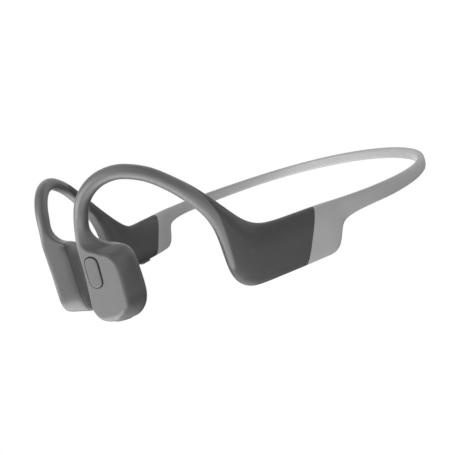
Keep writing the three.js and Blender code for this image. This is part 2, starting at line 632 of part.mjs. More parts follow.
function addControlBox(arm, side) {
  const frame = boxMatrix(side);
  const down = (x) => chain(frame, shift(x, BOX_BOTTOM, 0), quarterTurn); // Z points down
  const keys = { volume_up: -5.0, volume_down: 4.2 };
  const light = down(-0.4);

  let shell = boxShell(side);
  for (const [name, x] of Object.entries(keys)) {
    shell = shell.subtract(slab(down(x), [0, 0, -3], [7.0, 3.2, 5], 1.6));
    addVolumeKey(arm, name, down(x));
  }
  shell = shell.subtract(slab(frame, [...PORT, -8], [6.6, 3.2, 6], 1.2)) // port window
    .subtract(disc(light, [0, 0, -3], 0.75, 5, { segments: 12 }))
    .subtract(disc(frame, [-9.5, -10.5, 1], 0.5, 6, { segments: 10 })); // microphone hole

  const keyBoard = slab(frame, [-0.4, -13.2, -1.4], [14, 0.5, 2.8], 0.2);
  const pipe = disc(light, [0, 0, -2.4], 0.45, 2.35, { segments: 12 });
  add(arm, "main_board", slab(frame, [-1.4, -8.0, 0.9], [16.4, 7.2, 0.7], 0.6), "board");
  add(arm, "volume_key_board", keyBoard, "board");
  add(arm, "radio_module", slab(frame, [-3.0, -7.4, 1.75], [9.5, 6.6, 0.8], 0.3), "steel");
  addCharging(arm, frame);
  add(arm, "status_light_pipe", pipe, "lens");
  add(arm, "microphone", slab(frame, [-9.6, -10.5, 1.85], [2.8, 2.2, 0.8], 0.2), "gold");
  add(arm, "right_box_shell", shell, "dark");
}

// ---- Assembly ----
function addArm(arm, name, side, addBox) {
  addNeckbandSide(arm, name, side);
  addHook(arm, name, side);
  addPod(arm, name, side);
  addBox(arm, side);
}

const root = new THREE.Group();
const leftArm = new THREE.Group();
const rightArm = new THREE.Group();
root.add(leftArm, rightArm);
addNeckbandCentre(root);
addArm(leftArm, "left", 1, addBatteryBox);
addArm(rightArm, "right", -1, addControlBox);

export default root;
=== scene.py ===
"""Bone conduction headphones: skins, controls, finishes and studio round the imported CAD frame.

The wearer faces -Y with Z up and the left arm on +X. Each arm runs from the pod at the front,
over the hook and along the box to the neckband, whose halves meet at the back on X = 0.
Tables are in millimetres in the design frame; place() brings them to the row frame in metres.
"""
import math

import bmesh
import bpy
import numpy as np
from mathutils import Matrix, Vector


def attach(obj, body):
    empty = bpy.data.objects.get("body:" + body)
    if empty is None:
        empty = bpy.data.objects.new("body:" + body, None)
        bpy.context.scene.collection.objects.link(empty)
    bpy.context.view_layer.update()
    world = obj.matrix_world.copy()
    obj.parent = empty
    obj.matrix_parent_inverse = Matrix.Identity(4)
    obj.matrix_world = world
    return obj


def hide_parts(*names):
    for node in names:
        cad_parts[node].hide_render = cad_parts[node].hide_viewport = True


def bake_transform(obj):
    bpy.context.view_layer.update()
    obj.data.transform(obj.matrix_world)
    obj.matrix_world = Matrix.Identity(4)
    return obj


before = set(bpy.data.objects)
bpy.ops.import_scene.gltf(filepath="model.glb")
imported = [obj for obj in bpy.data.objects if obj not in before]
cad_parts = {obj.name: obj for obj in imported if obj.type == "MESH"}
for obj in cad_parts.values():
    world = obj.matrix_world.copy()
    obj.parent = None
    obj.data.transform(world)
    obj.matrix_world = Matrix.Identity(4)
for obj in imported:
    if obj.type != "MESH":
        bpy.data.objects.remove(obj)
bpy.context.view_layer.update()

RING_POINTS = 144
RINGS_PER_STATION = 12
BAND_RINGS = 110
MM = 0.001

# ---------------------------------------------------------------- driving dimensions
BASE_Z = 19.4  # height of the design frame's origin in the row frame
MID_Y = 13.285  # design y of the row frame's origin
BAND_HALF = 1.5  # half the neckband's thickness
POD_X, POD_Y = 21.0, -61.6
POD_TURN = math.radians(38)
POD_OUTER, POD_INNER, POD_SPLIT = 5.3, -6.35, -3.6  # flat faces and the pad's split, outwards
SPLIT_LAP = 0.07  # half the overlap of pod and pad at the split
SKIN = 0.45  # wall left outside the lip at the split
SEAM_ROUND = 0.16
BOX_X, BOX_Y = 54.244, -30.285
BOX_ALONG_X, BOX_ALONG_Y = 0.30406, 0.95265  # direction of the left box, backwards
BOX_UNDER = -18.2
WIRE_RADIUS = 0.65
WIRE_Z = -3.25
# x, y of the left arm's centre line, from the pod to just past the middle of the back
PLAN = [
    [12.4, -70.2], [14.8, -68.3], [18.35, -65.55], [21.9, -62.8], [25.2, -60.2], [31.3, -54.4],
    [37.7, -47.6], [42.4, -41.5], [46.3, -36.0], [49.3, -31.0], [51.5, -25.5], [54.5, -16.5],
    [57.1, -7.5], [59.4, 0.5], [62.1, 7.5], [64.9, 15.0], [67.4, 26.0], [67.3, 39.6],
    [64.4, 53.3], [58.9, 65.5], [50.4, 76.4], [39.4, 85.0], [27, 91.1], [13.7, 94.7],
    [0, 95.9], [-13.7, 94.7], [-27, 91.1], [-39.4, 85.0],
]
PLAN_STEP = 0.1


# ---------------------------------------------------------------- plan curve
def gauss(values, sigma):
    """Gaussian smoothing along axis 0, the ends carried on by odd reflection."""
    values = np.asarray(values, float)
    reach = int(4 * sigma)
    kernel = np.exp(-0.5 * (np.arange(-reach, reach + 1) / sigma) ** 2)
    kernel /= kernel.sum()
    padding = [(reach, reach)] + [(0, 0)] * (values.ndim - 1)
    padded = np.pad(values, padding, mode="reflect", reflect_type="odd")
    smoothed = np.zeros_like(values)
    for i, weight in enumerate(kernel):
        smoothed += weight * padded[i:i + len(values)]
    return smoothed


def plan_points(steps=60):
    """Centripetal Catmull-Rom curve through PLAN."""
    plan = np.array(PLAN, float)
    ext = np.vstack([2 * plan[0] - plan[1], plan, 2 * plan[-1] - plan[-2]])
    t = np.linspace(0, 1, steps, endpoint=False)[:, None]
    spans = []
    for i in range(len(plan) - 1):
        p0, p1, p2, p3 = ext[i:i + 4]
        d0, d1, d2 = [float((b - a) @ (b - a)) ** 0.25 for a, b in ((p0, p1), (p1, p2), (p2, p3))]
        t1 = ((p1 - p0) / d0 - (p2 - p0) / (d0 + d1) + (p2 - p1) / d1) * d1
        t2 = ((p2 - p1) / d1 - (p3 - p1) / (d1 + d2) + (p3 - p2) / d2) * d1
        square = -3 * p1 + 3 * p2 - 2 * t1 - t2
        spans.append(p1 + t1 * t + square * t ** 2 + (2 * p1 - 2 * p2 + t1 + t2) * t ** 3)
    spans.append(plan[-1:])
    return np.vstack(spans)


raw_line = plan_points()
raw_steps = np.linalg.norm(np.diff(raw_line, axis=0), axis=1)
raw_distance = np.concatenate([[0], np.cumsum(raw_steps)])
DISTANCE = np.arange(0, float(raw_distance[-1]), PLAN_STEP)
EVEN_LINE = np.stack([np.interp(DISTANCE, raw_distance, raw_line[:, i]) for i in (0, 1)], 1)
SOFT_LINE = gauss(EVEN_LINE, 14)
TANGENT = np.gradient(SOFT_LINE, axis=0)
TANGENT /= np.linalg.norm(TANGENT, axis=1)[:, None]


def crossing(values, target, i):
    """Distance along the curve at which values pass target, between samples i - 1 and i."""
    before, after = values[i - 1], values[i]
    return float(DISTANCE[i - 1] + PLAN_STEP * (target - before) / (after - before))


def along_at_y(y):
    return crossing(EVEN_LINE[:, 1], y, int(np.argmax(EVEN_LINE[:, 1] >= y)))


def along_at_x(x):
    """The same for x, looking in the back half of the curve."""
    half = len(DISTANCE) // 2
    return crossing(SOFT_LINE[:, 0], x, half + int(np.argmax(SOFT_LINE[half:, 0] <= x)))


def plan_at(along):
    """x, y and the tangent's x, y at a distance along the curve."""
    return [np.interp(along, DISTANCE, column) for column in (*SOFT_LINE.T, *TANGENT.T)]


def place(along, out, z, side):
    """Arm coordinates (along the plan curve, outwards, up) to the row frame in metres."""
    x, y, tan_x, tan_y = plan_at(along)
    height = np.broadcast_to(z, np.shape(x)) + BASE_Z
    return np.stack([side * (x + tan_y * out), y - tan_x * out - MID_Y, height], -1) * MM


POD_ALONG = along_at_y(-62.8)
BAND_START = along_at_y(27)
BACK = along_at_x(0)

# ---------------------------------------------------------------- stations of the front skin
# A section's chord runs from its start edge (front or upper) to its end edge (rear or lower).
# Pod: start along, z, end along, z (along from POD_ALONG), inner and outer face, where the outer
# face ends, degrees the wall beyond it turns away, corner softness, lean
PODS = [
    (-4.4, -18.25, -1.0, -18.25, -7.0, 1.5, -3, 48, 1, 0.26),
    (-6.3, -17.7, 1.9, -17.7, -7.7, 2.5, -2.6, 50, 1, 0.23),
    (-8.3, -16.3, 4.9, -16.3, -8.0, 3.4, -1.2, 52, 1, 0.16),
    (-9.6, -14, 7.6, -14, -8.1, 3.95, 1.3, 56, 1, 0.09),
    (-10.62, -11, 9.2, -11, -8.1, 4.05, 3.6, 60, 1, 0.03),
    (-10.2, -7, 9.75, -7, -8.1, 4.05, 4.1, 60, 1, 0),
    (-9.4, -2, 9.75, -2, -8.1, 4.05, 4.5, 60, 1, 0),
    (-8.85, 2.2, 9.55, 2.2, -8.1, 4.05, 4.7, 58, 1, 0),
    (-8.55, 5.2, 9.15, 5.2, -8.1, 4.05, 4.1, 55, 1, 0),
    (-8.35, 7.4, 8.1, 7.4, -7.7, 4.05, 2.2, 51, 1, 0),
    (-8.2, 9.4, 5.9, 9.0, -6.9, 4.0, -1.4, 46, 1, 0),
    (-8.05, 11.1, 2.7, 9.95, -5.2, 3.95, -4.3, 42, 0.8, 0),
    (-7.9, 12.8, 0.0, 11.4, -3.2, 3.9, -5.2, 42, 0.5, 0),
    (-7.75, 15.0, -1.65, 14.3, -1.6, 3.7, -4.9, 42, 0.2, 0),
    (-7.35, 18.0, -2.0, 18.0, -1.15, 3.6, -3.7, 42, 0, 0),
]
# Hook: centre y, z, radius, outward shift
TUBES = [
    (-64.95, 22.2, 2.58, 0.95), (-63.95, 26.2, 2.58, 0.7), (-62.05, 30.05, 2.6, 0.3),
    (-58.6, 33.15, 2.6, 0), (-54.2, 33.95, 2.6, 0), (-50.6, 32.9, 2.6, 0),
    (-46.4, 30.4, 2.6, 0), (-43.0, 27.2, 2.62, 0), (-39.3, 22.9, 2.7, 0),
]
# Box and its tail: start y, z, end y, z, half thickness, squareness, skew, outward shift
BOXES = [
    (-33.9, 20.0, -38.4, 17.4, 2.85, 2.3, 0, 0), (-30.8, 15.5, -35.8, 13.1, 3.15, 2.6, 0.5, 0),
    (-27.8, 11.3, -34.1, 9.0, 3.45, 2.9, 1.3, 0), (-24.9, 7.3, -33.1, 4.3, 3.7, 3.1, 2.1, 0),
    (-22.0, 4.1, -32.7, -1.6, 3.85, 3.4, 2.6, 0), (-18.8, 1.95, -32.6, -8.2, 3.95, 3.6, 2.4, 0),
    (-15.8, 1.1, -31.8, -13.6, 4.0, 3.8, 1.7, 0), (-13.2, 0.85, -29.0, -17.2, 4.0, 4, 1.1, 0),
    (-10.6, 0.75, -24.6, -18.45, 4.0, 4, 0.7, 0), (-7.0, 0.7, -18.6, -18.45, 4.0, 4, 0.4, 0),
    (-2.7, 0.65, -12.6, -18.45, 4.0, 4, 0.2, 0), (2.0, 0.6, -7.0, -18.45, 4.0, 4, 0, 0),
    (4.6, 0.6, -3.0, -18.45, 3.85, 4, 0, 0), (6.7, 0.55, 0.9, -18.4, 3.4, 4, 0, 0.25),
    (8.5, 0.5, 4.4, -18.1, 2.8, 4, 0, 0.4), (10.0, 0.45, 6.9, -16.5, 2.35, 4, 0, 0.45),
    (11.4, 0.4, 8.5, -13.3, 2.05, 3.8, 0, 0.45), (12.8, 0.35, 9.7, -10.2, 1.9, 3.6, 0, 0.35),
    (14.5, 0.25, 11.6, -7.9, 1.8, 3.4, 0, 0.25), (17, 0.15, 15.4, -6.8, 1.7, 3.2, 0, 0.15),
    (20.5, 0.0, 20.0, -6.4, 1.6, 3.2, 0, 0), (27, -0.2, 27, -6.2, 1.55, 3.2, 0, 0),
]
SEAM_STATION = 35  # where the dark skin meets the light one
LAST_STATION = len(PODS) + len(TUBES) + len(BOXES) - 1
BAND_SQUARENESS = 3.2
FAR = 60  # puts a corner plane out of reach
theta = 2 * np.pi * np.arange(RING_POINTS) / RING_POINTS
COS, SIN = np.cos(theta), np.sin(theta)


# Every row holds: along, z, out, chord direction along and z, half chord, skew, lean, radii
def radii(planes, power):
    """Superelliptic blend of planes (along-chord part, outward part, distance)."""
    total = np.zeros(RING_POINTS)
    power = np.broadcast_to(power, (RING_POINTS,))
    for across, outward, reach in planes:
        ratio = (across * COS + outward * SIN) / reach
        total += np.where(ratio > 0, np.abs(ratio) ** power, 0)
    return total ** (-1 / power)


def oval(half_chord, half_depth):
    return [(1, 0, half_chord), (-1, 0, half_chord), (0, 1, half_depth), (0, -1, half_depth)]


def chord(start, start_z, end, end_z):
    """Centre, direction and half length of a chord."""
    half = math.hypot(end - start, end_z - start_z) / 2
    centre = [(start + end) / 2, (start_z + end_z) / 2]
    return centre, [(end - start) / (2 * half), (end_z - start_z) / (2 * half)], half


def pod_row(start, start_z, end, end_z, inner, outer, crease, turn, soft, lean):
    centre, direction, half = chord(POD_ALONG + start, start_z, POD_ALONG + end, end_z)
    depth = (outer - inner) / 2
    turn = math.radians(turn)

    def inner_corner(across, inward, chord_share, depth_share):
        reach = abs(across) * half * chord_share + inward * depth * depth_share
        return across, -inward, reach * soft + FAR * (1 - soft)

    crease_reach = (math.sin(turn) * (crease - centre[0] + POD_ALONG)
                    + math.cos(turn) * depth)
    planes = [
        (1, 0, half), (-1, 0, half * 0.985), (0, 1, depth), (0, -1, depth),
        (math.sin(turn), math.cos(turn), crease_reach),
        inner_corner(0.62, 0.78, chord_share=0.9, depth_share=0.62),
        inner_corner(-0.7, 0.71, chord_share=0.97, depth_share=0.55),
    ]
    shape = radii(planes, 2.3 + 11 * soft)
    return [*centre, (outer + inner) / 2, *direction, half, 0, lean, *shape]


def tube_row(y, z, radius, out):
    """The direction is filled in from the neighbouring stations."""
    return [along_at_y(y), z, out, 0, 0, radius, 0, 0] + [radius] * RING_POINTS


def box_row(start_y, start_z, end_y, end_z, depth, squareness, skew, out):
    centre, direction, half = chord(along_at_y(start_y), start_z, along_at_y(end_y), end_z)
    power = np.where(COS < 0, min(squareness, 2.7), squareness)
    return [*centre, out, *direction, half, skew, 0, *radii(oval(half, depth), power)]


def station_rows():
    rows = [pod_row(*s) for s in PODS] + [tube_row(*s) for s in TUBES]
    rows = np.array(rows + [box_row(*s) for s in BOXES], float)
    for i in range(len(PODS), len(PODS) + len(TUBES)):
        run, rise = rows[i + 1, :2] - rows[i - 1, :2]
        length = math.hypot(run, rise)
        rows[i, 3:5] = rise / length, -run / length
    return rows


def between_stations(rows, t):
    """Catmull-Rom through the stations at t, an array of station numbers."""
    i = np.minimum(np.floor(t).astype(int), LAST_STATION - 1)
    f = (t - i)[:, None]
    a, b, c, d = (rows[np.clip(i + k, 0, LAST_STATION)] for k in (-1, 0, 1, 2))
    square = 2 * a - 5 * b + 4 * c - d
    return 0.5 * (2 * b + (c - a) * f + square * f * f + (3 * b - a - 3 * c + d) * f ** 3)


def band_section(along):
    """Middle height and half height of the neckband."""
    y = plan_at(along)[1]
    top = -0.15 - 0.85 * np.sin(np.pi * np.clip((y - 27) / 69, 0, 1))
    half = 3.15 - 0.62 * np.sin(np.pi / 2 * np.clip((along - BAND_START) / 55, 0, 1))
    return top - half, half


def arm_table():
    """One continuous table of rings: front skin, then the band to the middle of the back."""
    stops = np.arange(0, LAST_STATION * RINGS_PER_STATION + 1) / RINGS_PER_STATION
    rows = list(between_stations(station_rows(), stops))
    for along in np.linspace(BAND_START, BACK, BAND_RINGS)[1:]:
        mid, half = band_section(along)
        shape = radii(oval(half, BAND_HALF), BAND_SQUARENESS)
        rows.append([along, mid, 0, 0, -1, half, 0, 0, *shape])
    table = gauss(np.array(rows), 0.34 * RINGS_PER_STATION)
    table[:, 3:5] /= np.linalg.norm(table[:, 3:5], axis=1)[:, None]
    return table


TABLE = arm_table()
SEAM_RING = SEAM_STATION * RINGS_PER_STATION


# ---------------------------------------------------------------- local frames
def axes(origin, x, y, z):
    matrix = np.eye(4)
    matrix[:3, 0], matrix[:3, 1], matrix[:3, 2], matrix[:3, 3] = x, y, z, origin
    return matrix


def pod_matrix(side):
    """On the pod: X backwards along its face, Y up, Z outwards."""
    c, s = math.cos(POD_TURN), math.sin(POD_TURN)
    origin = np.array([side * POD_X, POD_Y - MID_Y, BASE_Z]) * MM
    return axes(origin, (side * c, s, 0), (0, 0, 1), (side * s, -c, 0))


def box_matrix(side):
    """On the box: X backwards along it, Y up, Z outwards."""
    origin = np.array([BOX_X * side, BOX_Y, BASE_Z]) * MM
    x = (BOX_ALONG_X * side, BOX_ALONG_Y, 0)
    return axes(origin, x, (0, 0, 1), (BOX_ALONG_Y * side, -BOX_ALONG_X, 0))


def under_matrix(side, x):
    """On the underside of the box, x along it: X backwards, Y outwards, Z down."""
    box = box_matrix(side)
    origin = box[:3, 3] + (box[:3, 0] * x + box[:3, 1] * BOX_UNDER) * MM
    return axes(origin, box[:3, 0], box[:3, 2], -box[:3, 1])


def from_local(points, matrix):
    return points @ matrix[:3, :3].T + matrix[:3, 3]


# ---------------------------------------------------------------- mesh tools
def soft_below(values, limit, blend):
    return values - blend * np.logaddexp(0, (values - limit) / blend)


def soft_above(values, limit, blend):
    return values + blend * np.logaddexp(0, (limit - values) / blend)


def rings(table, side, inset=0.0):
    """Rings of points for table rows, with the pod's faces and the box's underside flattened."""
    along, z, out, dir_along, dir_z, half, skew, lean = (table[:, i:i + 1] for i in range(8))
    reach = np.maximum(table[:, 8:] - inset, 0.05)
    c, s = COS * reach, SIN * reach
    points = place(along + dir_along * c, out + s - skew * np.maximum(-c / half, 0) ** 2,
                   z + dir_z * c + lean * s, side)
    pod = pod_matrix(side)
    # only the pod and the front of the hook
    near = np.clip((-30 * MM - MID_Y * MM - points[..., 1]) / (8 * MM), 0, 1)
    low = np.clip((14 * MM + BASE_Z * MM - points[..., 2]) / (4 * MM), 0, 1) * near
    outward = (points - pod[:3, 3]) @ pod[:3, 2]
    flat = soft_below(outward, POD_OUTER * MM, 0.05 * MM)
    flat = soft_above(flat, POD_INNER * MM, 0.05 * MM)
    points = points + ((flat - outward) * low)[..., None] * pod[:3, 2]
    if not inset:
        away = np.clip((points[..., 1] + (34 + MID_Y) * MM) / (6 * MM), 0, 1)
        raised = soft_above(points[..., 2], (BASE_Z + BOX_UNDER) * MM, 0.06 * MM)
        points[..., 2] += (raised - points[..., 2]) * away
    return points


def finish_mesh(name, bm):
    mesh = bpy.data.meshes.new(name)
    bm.to_mesh(mesh)
    bm.free()
    obj = bpy.data.objects.new(name, mesh)
    bpy.context.scene.collection.objects.link(obj)
    return obj


def lofted(name, points):
    """A closed mesh through rings points[ring, point, xyz], with fans over both ends."""
    count = points.shape[1]
    bm = bmesh.new()
    verts = [[bm.verts.new(co) for co in ring] for ring in points]
    for ring, after in zip(verts, verts[1:]):
        for i in range(count):
            j = (i + 1) % count
            bm.faces.new((ring[i], ring[j], after[j], after[i]))
    for ring in (verts[0], verts[-1]):
        mid = bm.verts.new(sum((v.co for v in ring), Vector()) / count)
        for i in range(count):
            bm.faces.new((ring[i], ring[(i + 1) % count], mid))
    bmesh.ops.recalc_face_normals(bm, faces=bm.faces)
    if bm.calc_volume(signed=True) < 0:
        bmesh.ops.reverse_faces(bm, faces=bm.faces)
    return finish_mesh(name, bm)


def smooth(obj, angle):
    mesh = obj.data
    mesh.polygons.foreach_set("use_smooth", [True] * len(mesh.polygons))
    mesh.set_sharp_from_angle(angle=math.radians(angle))
    mesh.update()


def cut(target, tool, operation="DIFFERENCE"):
    """Boolean of target with tool, applied; the tool is removed."""
    mod = target.modifiers.new("cut", "BOOLEAN")
    mod.operation, mod.solver, mod.object = operation, "MANIFOLD", tool
    depsgraph = bpy.context.evaluated_depsgraph_get()
    mesh = bpy.data.meshes.new_from_object(target.evaluated_get(depsgraph))
    target.modifiers.clear()
    old, target.data = target.data, mesh
    bpy.data.meshes.remove(old)
    tool_mesh = tool.data
    bpy.data.objects.remove(tool)
    bpy.data.meshes.remove(tool_mesh)


def pill(name, matrix, x, y, width, height, profile, turn=0.0, segments=24):
    """A stadium about (x, y) of a frame, swept through profile pairs (inset, z), all in mm."""
    big, small = max(width, height), min(width, height)
    straight = (big - small) / 2
    rings_ = []
    for inset, z in profile:
        radius = small / 2 - inset
        ring = []
        for end in (1, -1):
            for k in range(segments + 1):
                angle = (-90 + 180 * k / segments) * math.pi / 180
                far = end * (straight + radius * math.cos(angle))
                across = end * radius * math.sin(angle)
                ring.append((far, across, z) if width > height else (-across, far, z))
        rings_.append(ring)
    flat_x, flat_y, flat_z = np.moveaxis(np.array(rings_), -1, 0)
    c, s = math.cos(turn), math.sin(turn)
    local = np.stack([x + flat_x * c - flat_y * s, y + flat_x * s + flat_y * c, flat_z], -1) * MM
    return lofted(name, from_local(local, matrix))


def cut_pill(target, *where_and_size, **options):
    cut(target, pill("cutter", *where_and_size, **options))


def cut_round(target, matrix, x, y, diameter, profile):
    """A round hole: a stadium with next to no straight."""
    cut_pill(target, matrix, x, y, diameter, diameter - 0.0001, profile, segments=16)


def pod_slab(side, low, high, half_width=16.0, half_height=24.0):
    """A slab of the pod frame between two outward distances."""
    x, y = half_width, half_height
    corners = [[(-x, -y, z), (x, -y, z), (x, y, z), (-x, y, z)] for z in (low, high)]
    return lofted("cutter", from_local(np.array(corners) * MM, pod_matrix(side)))


# ---------------------------------------------------------------- shader tools
def fill(tree, target, inputs):
    """Set or link a node's inputs, by name or number."""
    for socket, value in inputs.items():
        if isinstance(value, bpy.types.NodeSocket):
            tree.links.new(value, target.inputs[socket])
        else:
            target.inputs[socket].default_value = value


def add_node(tree, kind, inputs={}, **settings):
    made = tree.nodes.new("ShaderNode" + kind)
    for setting, value in settings.items():
        setattr(made, setting, value)
    fill(tree, made, inputs)
    return made


def maths(tree, operation, a, b):
    return add_node(tree, "Math", {0: a, 1: b}, operation=operation).outputs[0]


# ---------------------------------------------------------------- finishes
def mottled(tree, source, color, vary, scale):
    noise = add_node(tree, "TexNoise",
                     {"Scale": scale, "Detail": 5, "Roughness": 0.6, "Vector": source})
    ramp = add_node(tree, "ValToRGB", {"Fac": noise.outputs["Fac"]})
    ends = ramp.color_ramp.elements
    ends[0].position, ends[1].position = 0.3, 0.72
    ends[0].color = (*np.clip(color * (1 - vary), 0, 1), 1)
    ends[1].color = (*np.clip(color * (1 + vary), 0, 1), 1)
    return ramp.outputs["Color"]


def rubbed_edges(tree, base, color, edge):
    geometry = add_node(tree, "NewGeometry")
    worn = add_node(tree, "MapRange", {"From Min": 0.52, "From Max": 0.62, "To Max": 1.0,
                                       "Value": geometry.outputs["Pointiness"]})
    mix = add_node(tree, "Mix", data_type="RGBA")
    # colour sockets: 0 factor, 6 and 7 the two colours, output 2 the result
    fill(tree, mix, {0: maths(tree, "MULTIPLY", worn.outputs["Result"], edge), 6: base,
                     7: (*np.clip(color * 1.35 + 0.01, 0, 1), 1)})
    return mix.outputs[2]


def scaled_along_y(tree, base, position, y_scale_range):
    """Scale a colour by a factor that changes along Y."""
    where = add_node(tree, "SeparateXYZ", {0: position})
    shade = add_node(tree, "MapRange", {**y_scale_range, "Value": where.outputs["Y"]},
                     interpolation_type="SMOOTHSTEP")
    scaled = add_node(tree, "VectorMath", {0: base, "Scale": shade.outputs["Result"]},
                      operation="SCALE")
    return scaled.outputs[0]


def varied_roughness(tree, source, rough, scale, spread=0.06):
    noise = add_node(tree, "TexNoise", {"Scale": scale * 3.1, "Detail": 3, "Vector": source})
    varied = add_node(tree, "MapRange", {
        "From Min": 0.3, "From Max": 0.7, "To Min": rough - spread, "To Max": rough + spread,
        "Value": noise.outputs["Fac"]})
    return varied.outputs["Result"]


def grainy_normal(tree, source, strength, scale):
    noise = add_node(tree, "TexNoise", {"Scale": scale, "Detail": 2, "Vector": source})
    bump = add_node(tree, "Bump", {"Strength": strength, "Distance": 0.00002,
                                   "Height": noise.outputs["Fac"]})
    return bump.outputs["Normal"]


def material(name, color, rough, metallic=0.0, vary=0.06, scale=90.0, grain=0.0,
             grain_scale=9000.0, specular=0.5, edge=0.0, ior=1.45, brushed=False, coat=0.0,
             y_scale_range=None):
    """Principled finish with mottled colour and roughness, fine grain and rubbed edges."""
    made = bpy.data.materials.new(name)
    made.use_nodes = True
    tree = made.node_tree
    tree.nodes.clear()
    output = add_node(tree, "OutputMaterial")
    surface = add_node(tree, "BsdfPrincipled", {
        "Metallic": metallic, "IOR": ior, "Specular IOR Level": specular})
    fill(tree, output, {"Surface": surface.outputs["BSDF"]})
    position = add_node(tree, "TexCoord").outputs["Object"]
    source = position
    if brushed:
        stretch = add_node(tree, "Mapping", {"Scale": (1, 1, 14), "Vector": position})
        source = stretch.outputs["Vector"]
    color = np.array(color)
    base = mottled(tree, source, color, vary, scale)
    if edge:
        base = rubbed_edges(tree, base, color, edge)
    # base colour scaled along Y: darker over the pod, lighter over the box
    if y_scale_range:
        base = scaled_along_y(tree, base, position, y_scale_range)
    fill(tree, surface, {"Base Color": base,
                         "Roughness": varied_roughness(tree, source, rough, scale)})
    if coat:
        fill(tree, surface, {"Coat Weight": coat, "Coat Roughness": 0.24})
    if grain:
        fill(tree, surface, {"Normal": grainy_normal(tree, source, grain, grain_scale)})
    return made


DARK = (0.056, 0.0562, 0.0568)
# base colour scaled along Y, from 0.92 times over the pod up to 1.24 times over the box, matching
# the brightness of the two regions
POD_TO_BOX = {"From Min": -0.068, "From Max": -0.046, "To Min": 0.92, "To Max": 1.24}
FINISH_VALUES = {
    "dark_silicone": dict(color=DARK, rough=0.48, vary=0.05, scale=120, grain=0.35, edge=0.2,
                          specular=0.9, coat=0.5, y_scale_range=POD_TO_BOX),
    "dark_housing": dict(color=(0.13, 0.1305, 0.132), rough=0.46, vary=0.04, scale=150,
                         grain=0.25, edge=0.3),
    "contact_pad": dict(color=(0.054, 0.0542, 0.0546), rough=0.5, vary=0.05, scale=160,
                        grain=0.5, edge=0.1, specular=0.9, coat=0.4),
    "light_silicone": dict(color=(0.252, 0.2528, 0.2543), rough=0.5, vary=0.035, scale=110,
                           grain=0.3, edge=0.1, specular=0.6, coat=0.35),
    "button_key": dict(color=DARK, rough=0.46, vary=0.04, scale=220, grain=0.2, edge=0.25,
                       specular=1.0),
    "volume_key": dict(color=(0.05, 0.0502, 0.0506), rough=0.45, vary=0.04, scale=220,
                       grain=0.2, edge=0.25, specular=1.0),
    "titanium_wire": dict(color=(0.55, 0.52, 0.48), rough=0.32, metallic=1.0, vary=0.08,
                          scale=400, brushed=True),
    "plain_steel": dict(color=(0.56, 0.57, 0.58), rough=0.28, metallic=1.0, vary=0.08,
                        scale=500, brushed=True),
    "magnet": dict(color=(0.42, 0.43, 0.45), rough=0.22, metallic=1.0, scale=350),
    "copper_coil": dict(color=(0.72, 0.34, 0.16), rough=0.3, metallic=1.0, vary=0.15,
                        scale=1600, brushed=True, grain=0.6),
    "board": dict(color=(0.012, 0.085, 0.035), rough=0.38, vary=0.3, scale=900, grain=0.4),
    "cell": dict(color=(0.5, 0.51, 0.52), rough=0.35, metallic=0.7, vary=0.07, scale=300,
                 grain=0.4),
    "foam": dict(color=(0.03, 0.03, 0.032), rough=0.95, vary=0.35, scale=1500, grain=1.0,
                 grain_scale=3000),
    "cable": dict(color=(0.02, 0.02, 0.021), rough=0.45, vary=0.1, scale=600, grain=0.3),
    "contact_gold": dict(color=(0.83, 0.6, 0.26), rough=0.22, metallic=1.0, scale=700),
    "port": dict(color=(0.028, 0.028, 0.03), rough=0.5, vary=0.12, scale=500, grain=0.4,
                 edge=0.3),
    "rubber_dome": dict(color=(0.035, 0.035, 0.036), rough=0.7, vary=0.12, scale=600, grain=0.6),
    "lens": dict(color=(0.72, 0.74, 0.74), rough=0.25, vary=0.05, scale=500, ior=1.49),
}
FINISH = {name: material(name, **values) for name, values in FINISH_VALUES.items()}


def dress(obj, finish):
    obj.data.materials.clear()
    obj.data.materials.append(FINISH[finish])


# ---------------------------------------------------------------- skins
def seam_lip(edge, before):
    """Rings that round the skin's edge ring at a seam and turn inwards."""
    along = edge - before
    along /= np.maximum(np.linalg.norm(along, axis=1), 1e-9)[:, None]
    inward = edge.mean(0) - edge
    inward /= np.linalg.norm(inward, axis=1)[:, None]
    inward -= (inward * along).sum(1)[:, None] * along
    lip = []
    for degrees in (0, 22, 45, 68, 90):
        a = math.radians(degrees)
        lip.append(edge + along * (SEAM_ROUND * (math.sin(a) - 1)) * MM
                   + inward * (SEAM_ROUND * (1 - math.cos(a))) * MM)
    lip.append(lip[-1] + inward * 0.5 * MM)
    return lip


def front_skin(name, side):
    """Pod, hook and box in one moulding, domed under the pod, and the pod's inner contact pad."""
    front = rings(TABLE[:SEAM_RING + 1], side)
    first = front[0]
    centre = first.mean(0)
    dome = []
    for k in range(6, 0, -1):
        a = k / 6.5 * math.pi / 2
        drop = np.array([0, 0, -0.42 * MM * math.sin(a)])
        dome.append(centre + (first - centre) * math.cos(a) + drop)
    lip = np.array(seam_lip(front[-1], front[-2]))
    skin = lofted(name + "_arm_skin", np.concatenate([np.array(dome), front[:-1], lip]))
    inner = lofted(name + "_lip", rings(TABLE[:11 * RINGS_PER_STATION], side, SKIN))
    pad = skin.copy()
    pad.data = skin.data.copy()
    pad.name = name + "_contact_pad"
    bpy.context.scene.collection.objects.link(pad)
    cut(skin, pod_slab(side, -14, POD_SPLIT + SPLIT_LAP))
    cut(pad, pod_slab(side, POD_SPLIT - SPLIT_LAP, 12, half_width=60, half_height=60))
    cut(inner, pod_slab(side, POD_SPLIT - SPLIT_LAP, POD_SPLIT + 0.3), "INTERSECT")
    cut(skin, inner, "UNION")
    return skin, pad


